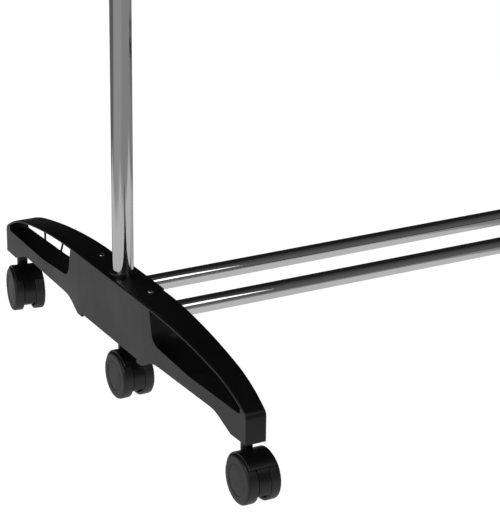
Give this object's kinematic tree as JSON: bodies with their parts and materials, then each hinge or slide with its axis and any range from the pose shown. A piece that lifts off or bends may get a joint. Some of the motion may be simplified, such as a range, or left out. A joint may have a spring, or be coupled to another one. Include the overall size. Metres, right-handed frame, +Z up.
{
  "type": "garment rail",
  "caption": "Free-standing garment rail: chrome hanging tube on telescopic posts, arched black plastic legs, parallel lower bars and twin-wheel casters.",
  "frame": {"origin": "on the floor, at the middle of the bottom of the object's bounding box", "axes": "+Z up; +X along the hanging rail; +Y from the front casters to the rear casters"},
  "size_m": [1.038, 0.5885, 1.3996],
  "materials": {
    "leg_plastic": "black moulded plastic, fine satin texture",
    "fitting_plastic": "black moulded plastic",
    "knob_plastic": "black moulded plastic, semi-gloss",
    "tube_chrome": "bright chrome plating on steel tube",
    "caster_plastic": "black nylon, satin",
    "wheel_plastic": "dark grey-black nylon, satin",
    "screw_zinc": "bright zinc plating",
    "steel_pin": "drawn steel",
    "guide_plastic": "natural white nylon"
  },
  "bodies": {
    "root": {"left_leg": "leg_plastic", "left_bar_housing": "leg_plastic", "left_post": "tube_chrome", "left_collar": "fitting_plastic", "right_leg": "leg_plastic", "right_bar_housing": "leg_plastic", "right_post": "tube_chrome", "right_collar": "fitting_plastic", "front_lower_bar": "tube_chrome", "rear_lower_bar": "tube_chrome", "clamp_nuts": "screw_zinc", "post_bolts": "screw_zinc", "housing_screws": "screw_zinc", "bar_screws": "screw_zinc", "caster_stems": "steel_pin", "stem_sockets": "guide_plastic"},
    "upper": {"left_upper_tube": "tube_chrome", "left_tube_guide": "guide_plastic", "left_rail_fitting": "fitting_plastic", "left_rail_cap": "fitting_plastic", "right_upper_tube": "tube_chrome", "right_tube_guide": "guide_plastic", "right_rail_fitting": "fitting_plastic", "right_rail_cap": "fitting_plastic", "hanging_rail": "tube_chrome", "fitting_screws": "screw_zinc"},
    "left_knob": {"left_clamp_knob": "knob_plastic", "left_clamp_screw": "screw_zinc"},
    "left_front_swivel": {"left_front_caster_body": "caster_plastic", "left_front_axle": "steel_pin"},
    "left_front_wheel_left": {"left_front_wheel_left": "wheel_plastic"},
    "left_front_wheel_right": {"left_front_wheel_right": "wheel_plastic"},
    "left_middle_swivel": {"left_middle_caster_body": "caster_plastic", "left_middle_axle": "steel_pin"},
    "left_middle_wheel_left": {"left_middle_wheel_left": "wheel_plastic"},
    "left_middle_wheel_right": {"left_middle_wheel_right": "wheel_plastic"},
    "left_rear_swivel": {"left_rear_caster_body": "caster_plastic", "left_rear_axle": "steel_pin"},
    "left_rear_wheel_left": {"left_rear_wheel_left": "wheel_plastic"},
    "left_rear_wheel_right": {"left_rear_wheel_right": "wheel_plastic"},
    "right_knob": {"right_clamp_knob": "knob_plastic", "right_clamp_screw": "screw_zinc"},
    "right_front_swivel": {"right_front_caster_body": "caster_plastic", "right_front_axle": "steel_pin"},
    "right_front_wheel_left": {"right_front_wheel_left": "wheel_plastic"},
    "right_front_wheel_right": {"right_front_wheel_right": "wheel_plastic"},
    "right_middle_swivel": {"right_middle_caster_body": "caster_plastic", "right_middle_axle": "steel_pin"},
    "right_middle_wheel_left": {"right_middle_wheel_left": "wheel_plastic"},
    "right_middle_wheel_right": {"right_middle_wheel_right": "wheel_plastic"},
    "right_rear_swivel": {"right_rear_caster_body": "caster_plastic", "right_rear_axle": "steel_pin"},
    "right_rear_wheel_left": {"right_rear_wheel_left": "wheel_plastic"},
    "right_rear_wheel_right": {"right_rear_wheel_right": "wheel_plastic"}
  },
  "joints": [
    {"name": "height_adjust", "type": "slide", "parent": "root", "child": "upper", "axis": [0, 0, 1], "range_m": [-0.378, 0.22]},
    {"name": "left_knob_turn", "type": "hinge", "parent": "root", "child": "left_knob", "pos_m": [-0.47, 0.00975, 0.945], "axis": [-1, 0, 0], "range_deg": [0, 360]},
    {"name": "left_front_swivel_turn", "type": "hinge", "parent": "root", "child": "left_front_swivel", "pos_m": [-0.45, -0.25625, 0.055], "axis": [0, 0, 1], "continuous": true},
    {"name": "left_front_wheel_left_roll", "type": "hinge", "parent": "left_front_swivel", "child": "left_front_wheel_left", "pos_m": [-0.45, -0.26975, 0.0245], "axis": [1, 0, 0], "continuous": true},
    {"name": "left_front_wheel_right_roll", "type": "hinge", "parent": "left_front_swivel", "child": "left_front_wheel_right", "pos_m": [-0.45, -0.26975, 0.0245], "axis": [1, 0, 0], "continuous": true},
    {"name": "left_middle_swivel_turn", "type": "hinge", "parent": "root", "child": "left_middle_swivel", "pos_m": [-0.45, 0.00975, 0.055], "axis": [0, 0, 1], "continuous": true},
    {"name": "left_middle_wheel_left_roll", "type": "hinge", "parent": "left_middle_swivel", "child": "left_middle_wheel_left", "pos_m": [-0.45, -0.00375, 0.0245], "axis": [1, 0, 0], "continuous": true},
    {"name": "left_middle_wheel_right_roll", "type": "hinge", "parent": "left_middle_swivel", "child": "left_middle_wheel_right", "pos_m": [-0.45, -0.00375, 0.0245], "axis": [1, 0, 0], "continuous": true},
    {"name": "left_rear_swivel_turn", "type": "hinge", "parent": "root", "child": "left_rear_swivel", "pos_m": [-0.45, 0.27575, 0.055], "axis": [0, 0, 1], "continuous": true},
    {"name": "left_rear_wheel_left_roll", "type": "hinge", "parent": "left_rear_swivel", "child": "left_rear_wheel_left", "pos_m": [-0.45234, 0.26245, 0.0245], "axis": [0.9848, -0.1736, 0], "continuous": true},
    {"name": "left_rear_wheel_right_roll", "type": "hinge", "parent": "left_rear_swivel", "child": "left_rear_wheel_right", "pos_m": [-0.45234, 0.26245, 0.0245], "axis": [0.9848, -0.1736, 0], "continuous": true},
    {"name": "right_knob_turn", "type": "hinge", "parent": "root", "child": "right_knob", "pos_m": [0.47, 0.00975, 0.945], "axis": [1, 0, 0], "range_deg": [0, 360]},
    {"name": "right_front_swivel_turn", "type": "hinge", "parent": "root", "child": "right_front_swivel", "pos_m": [0.45, -0.25625, 0.055], "axis": [0, 0, 1], "continuous": true},
    {"name": "right_front_wheel_left_roll", "type": "hinge", "parent": "right_front_swivel", "child": "right_front_wheel_left", "pos_m": [0.45, -0.26975, 0.0245], "axis": [1, 0, 0], "continuous": true},
    {"name": "right_front_wheel_right_roll", "type": "hinge", "parent": "right_front_swivel", "child": "right_front_wheel_right", "pos_m": [0.45, -0.26975, 0.0245], "axis": [1, 0, 0], "continuous": true},
    {"name": "right_middle_swivel_turn", "type": "hinge", "parent": "root", "child": "right_middle_swivel", "pos_m": [0.45, 0.00975, 0.055], "axis": [0, 0, 1], "continuous": true},
    {"name": "right_middle_wheel_left_roll", "type": "hinge", "parent": "right_middle_swivel", "child": "right_middle_wheel_left", "pos_m": [0.45, -0.00375, 0.0245], "axis": [1, 0, 0], "continuous": true},
    {"name": "right_middle_wheel_right_roll", "type": "hinge", "parent": "right_middle_swivel", "child": "right_middle_wheel_right", "pos_m": [0.45, -0.00375, 0.0245], "axis": [1, 0, 0], "continuous": true},
    {"name": "right_rear_swivel_turn", "type": "hinge", "parent": "root", "child": "right_rear_swivel", "pos_m": [0.45, 0.27575, 0.055], "axis": [0, 0, 1], "continuous": true},
    {"name": "right_rear_wheel_left_roll", "type": "hinge", "parent": "right_rear_swivel", "child": "right_rear_wheel_left", "pos_m": [0.45234, 0.26245, 0.0245], "axis": [0.9848, 0.1736, 0], "continuous": true},
    {"name": "right_rear_wheel_right_roll", "type": "hinge", "parent": "right_rear_swivel", "child": "right_rear_wheel_right", "pos_m": [0.45234, 0.26245, 0.0245], "axis": [0.9848, 0.1736, 0], "continuous": true}
  ]
}
